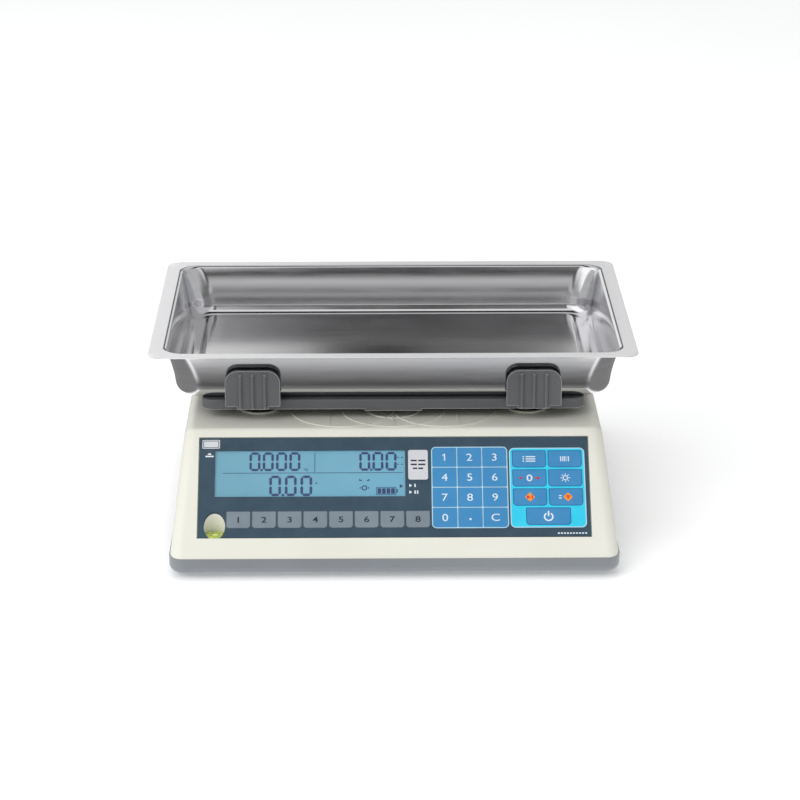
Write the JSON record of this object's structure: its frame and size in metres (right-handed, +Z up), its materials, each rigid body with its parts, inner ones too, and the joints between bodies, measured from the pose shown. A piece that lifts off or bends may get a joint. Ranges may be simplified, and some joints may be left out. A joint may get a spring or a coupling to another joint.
{
  "type": "retail bench scale",
  "caption": "Retail bench weighing scale with a lift-off tray on a sprung platform, a sloped keypad and display, and levelling feet.",
  "frame": {"origin": "on the table under the middle of the base, at the feet's bottom faces", "axes": "+Z up, -Y towards the operator and the keypad, +X to the operator's right"},
  "size_m": [0.3784, 0.3516, 0.1483],
  "materials": {
    "cream_plastic": "fine satin moulded ABS",
    "grey_plastic": "satin moulded ABS",
    "platform_plastic": "satin moulded ABS",
    "slate_film": "fine-textured printed film",
    "clear_window": "clear gloss film",
    "lcd_glass": "backlit liquid crystal",
    "circuit_board": "green solder mask",
    "level_fluid": "clear green fluid in acrylic",
    "black_plastic": "satin",
    "plated_steel": "zinc plated",
    "aluminium": "machined",
    "brass": "machined",
    "stainless_steel": "fine brushed, polished corners",
    "blue_key": "fine-textured printed film",
    "grey_key": "fine-textured printed film",
    "foot_rubber": "matt"
  },
  "bodies": {
    "scale_body": {"upper_housing": "cream_plastic", "base_shell": "grey_plastic", "keypad_overlay": "slate_film", "rear_overlay": "slate_film", "display_window": "clear_window", "front_lcd": "lcd_glass", "rear_lcd": "lcd_glass", "display_board": "circuit_board", "rear_display_board": "circuit_board", "main_board": "circuit_board", "level_vial": "level_fluid", "battery": "black_plastic", "dc_inlet": "black_plastic", "chassis_plate": "plated_steel", "housing_screws": "plated_steel", "chassis_screws": "plated_steel", "overload_stops": "plated_steel", "cell_base_bolts": "plated_steel", "load_cell": "aluminium", "cell_base_spacer": "aluminium", "foot_nuts": "brass"},
    "weighing_platform": {"weighing_frame": "aluminium", "support_posts": "aluminium", "cell_top_spacer": "aluminium", "cell_top_bolts": "plated_steel", "platform": "platform_plastic", "pan_clips": "platform_plastic"},
    "pan": {"pan": "stainless_steel"},
    "battery_door": {"battery_door": "grey_plastic"},
    "foot_front_left": {"foot_front_left": "foot_rubber"},
    "foot_front_right": {"foot_front_right": "foot_rubber"},
    "foot_rear_left": {"foot_rear_left": "foot_rubber"},
    "foot_rear_right": {"foot_rear_right": "foot_rubber"},
    "key_0": {"key_0": "blue_key"},
    "key_1": {"key_1": "blue_key"},
    "key_2": {"key_2": "blue_key"},
    "key_3": {"key_3": "blue_key"},
    "key_4": {"key_4": "blue_key"},
    "key_5": {"key_5": "blue_key"},
    "key_6": {"key_6": "blue_key"},
    "key_7": {"key_7": "blue_key"},
    "key_8": {"key_8": "blue_key"},
    "key_9": {"key_9": "blue_key"},
    "key_point": {"key_point": "blue_key"},
    "key_clear": {"key_clear": "blue_key"},
    "key_lookup": {"key_lookup": "blue_key"},
    "key_label": {"key_label": "blue_key"},
    "key_zero": {"key_zero": "blue_key"},
    "key_backlight": {"key_backlight": "blue_key"},
    "key_function": {"key_function": "blue_key"},
    "key_tare": {"key_tare": "blue_key"},
    "key_power": {"key_power": "blue_key"},
    "preset_key_1": {"preset_key_1": "grey_key"},
    "preset_key_2": {"preset_key_2": "grey_key"},
    "preset_key_3": {"preset_key_3": "grey_key"},
    "preset_key_4": {"preset_key_4": "grey_key"},
    "preset_key_5": {"preset_key_5": "grey_key"},
    "preset_key_6": {"preset_key_6": "grey_key"},
    "preset_key_7": {"preset_key_7": "grey_key"},
    "preset_key_8": {"preset_key_8": "grey_key"}
  },
  "joints": [
    {"name": "platform_sink", "type": "slide", "parent": "scale_body", "child": "weighing_platform", "axis": [0, 0, -1], "range_m": [0, 0.0008], "stiffness_N_per_m": 100000, "springref_m": -0.0004, "deforming": ["load_cell"]},
    {"name": "pan_lift", "type": "slide", "parent": "weighing_platform", "child": "pan", "axis": [0, 0, 1], "range_m": [0, 0.06]},
    {"name": "battery_door_release", "type": "slide", "parent": "scale_body", "child": "battery_door", "axis": [0, 0, -1], "range_m": [0, 0.04]},
    {"name": "foot_front_left_level", "type": "slide", "parent": "scale_body", "child": "foot_front_left", "axis": [0, 0, -1], "range_m": [-0.002, 0.006]},
    {"name": "foot_front_right_level", "type": "slide", "parent": "scale_body", "child": "foot_front_right", "axis": [0, 0, -1], "range_m": [-0.002, 0.006]},
    {"name": "foot_rear_left_level", "type": "slide", "parent": "scale_body", "child": "foot_rear_left", "axis": [0, 0, -1], "range_m": [-0.002, 0.006]},
    {"name": "foot_rear_right_level", "type": "slide", "parent": "scale_body", "child": "foot_rear_right", "axis": [0, 0, -1], "range_m": [-0.002, 0.006]},
    {"name": "key_0_press", "type": "slide", "parent": "scale_body", "child": "key_0", "axis": [0, 0.7071, -0.7071], "range_m": [0, 0.0004], "stiffness_N_per_m": 2500},
    {"name": "key_1_press", "type": "slide", "parent": "scale_body", "child": "key_1", "axis": [0, 0.7071, -0.7071], "range_m": [0, 0.0004], "stiffness_N_per_m": 2500},
    {"name": "key_2_press", "type": "slide", "parent": "scale_body", "child": "key_2", "axis": [0, 0.7071, -0.7071], "range_m": [0, 0.0004], "stiffness_N_per_m": 2500},
    {"name": "key_3_press", "type": "slide", "parent": "scale_body", "child": "key_3", "axis": [0, 0.7071, -0.7071], "range_m": [0, 0.0004], "stiffness_N_per_m": 2500},
    {"name": "key_4_press", "type": "slide", "parent": "scale_body", "child": "key_4", "axis": [0, 0.7071, -0.7071], "range_m": [0, 0.0004], "stiffness_N_per_m": 2500},
    {"name": "key_5_press", "type": "slide", "parent": "scale_body", "child": "key_5", "axis": [0, 0.7071, -0.7071], "range_m": [0, 0.0004], "stiffness_N_per_m": 2500},
    {"name": "key_6_press", "type": "slide", "parent": "scale_body", "child": "key_6", "axis": [0, 0.7071, -0.7071], "range_m": [0, 0.0004], "stiffness_N_per_m": 2500},
    {"name": "key_7_press", "type": "slide", "parent": "scale_body", "child": "key_7", "axis": [0, 0.7071, -0.7071], "range_m": [0, 0.0004], "stiffness_N_per_m": 2500},
    {"name": "key_8_press", "type": "slide", "parent": "scale_body", "child": "key_8", "axis": [0, 0.7071, -0.7071], "range_m": [0, 0.0004], "stiffness_N_per_m": 2500},
    {"name": "key_9_press", "type": "slide", "parent": "scale_body", "child": "key_9", "axis": [0, 0.7071, -0.7071], "range_m": [0, 0.0004], "stiffness_N_per_m": 2500},
    {"name": "key_point_press", "type": "slide", "parent": "scale_body", "child": "key_point", "axis": [0, 0.7071, -0.7071], "range_m": [0, 0.0004], "stiffness_N_per_m": 2500},
    {"name": "key_clear_press", "type": "slide", "parent": "scale_body", "child": "key_clear", "axis": [0, 0.7071, -0.7071], "range_m": [0, 0.0004], "stiffness_N_per_m": 2500},
    {"name": "key_lookup_press", "type": "slide", "parent": "scale_body", "child": "key_lookup", "axis": [0, 0.7071, -0.7071], "range_m": [0, 0.0004], "stiffness_N_per_m": 2500},
    {"name": "key_label_press", "type": "slide", "parent": "scale_body", "child": "key_label", "axis": [0, 0.7071, -0.7071], "range_m": [0, 0.0004], "stiffness_N_per_m": 2500},
    {"name": "key_zero_press", "type": "slide", "parent": "scale_body", "child": "key_zero", "axis": [0, 0.7071, -0.7071], "range_m": [0, 0.0004], "stiffness_N_per_m": 2500},
    {"name": "key_backlight_press", "type": "slide", "parent": "scale_body", "child": "key_backlight", "axis": [0, 0.7071, -0.7071], "range_m": [0, 0.0004], "stiffness_N_per_m": 2500},
    {"name": "key_function_press", "type": "slide", "parent": "scale_body", "child": "key_function", "axis": [0, 0.7071, -0.7071], "range_m": [0, 0.0004], "stiffness_N_per_m": 2500},
    {"name": "key_tare_press", "type": "slide", "parent": "scale_body", "child": "key_tare", "axis": [0, 0.7071, -0.7071], "range_m": [0, 0.0004], "stiffness_N_per_m": 2500},
    {"name": "key_power_press", "type": "slide", "parent": "scale_body", "child": "key_power", "axis": [0, 0.7071, -0.7071], "range_m": [0, 0.0004], "stiffness_N_per_m": 2500},
    {"name": "preset_key_1_press", "type": "slide", "parent": "scale_body", "child": "preset_key_1", "axis": [0, 0.7071, -0.7071], "range_m": [0, 0.0004], "stiffness_N_per_m": 2500},
    {"name": "preset_key_2_press", "type": "slide", "parent": "scale_body", "child": "preset_key_2", "axis": [0, 0.7071, -0.7071], "range_m": [0, 0.0004], "stiffness_N_per_m": 2500},
    {"name": "preset_key_3_press", "type": "slide", "parent": "scale_body", "child": "preset_key_3", "axis": [0, 0.7071, -0.7071], "range_m": [0, 0.0004], "stiffness_N_per_m": 2500},
    {"name": "preset_key_4_press", "type": "slide", "parent": "scale_body", "child": "preset_key_4", "axis": [0, 0.7071, -0.7071], "range_m": [0, 0.0004], "stiffness_N_per_m": 2500},
    {"name": "preset_key_5_press", "type": "slide", "parent": "scale_body", "child": "preset_key_5", "axis": [0, 0.7071, -0.7071], "range_m": [0, 0.0004], "stiffness_N_per_m": 2500},
    {"name": "preset_key_6_press", "type": "slide", "parent": "scale_body", "child": "preset_key_6", "axis": [0, 0.7071, -0.7071], "range_m": [0, 0.0004], "stiffness_N_per_m": 2500},
    {"name": "preset_key_7_press", "type": "slide", "parent": "scale_body", "child": "preset_key_7", "axis": [0, 0.7071, -0.7071], "range_m": [0, 0.0004], "stiffness_N_per_m": 2500},
    {"name": "preset_key_8_press", "type": "slide", "parent": "scale_body", "child": "preset_key_8", "axis": [0, 0.7071, -0.7071], "range_m": [0, 0.0004], "stiffness_N_per_m": 2500}
  ]
}
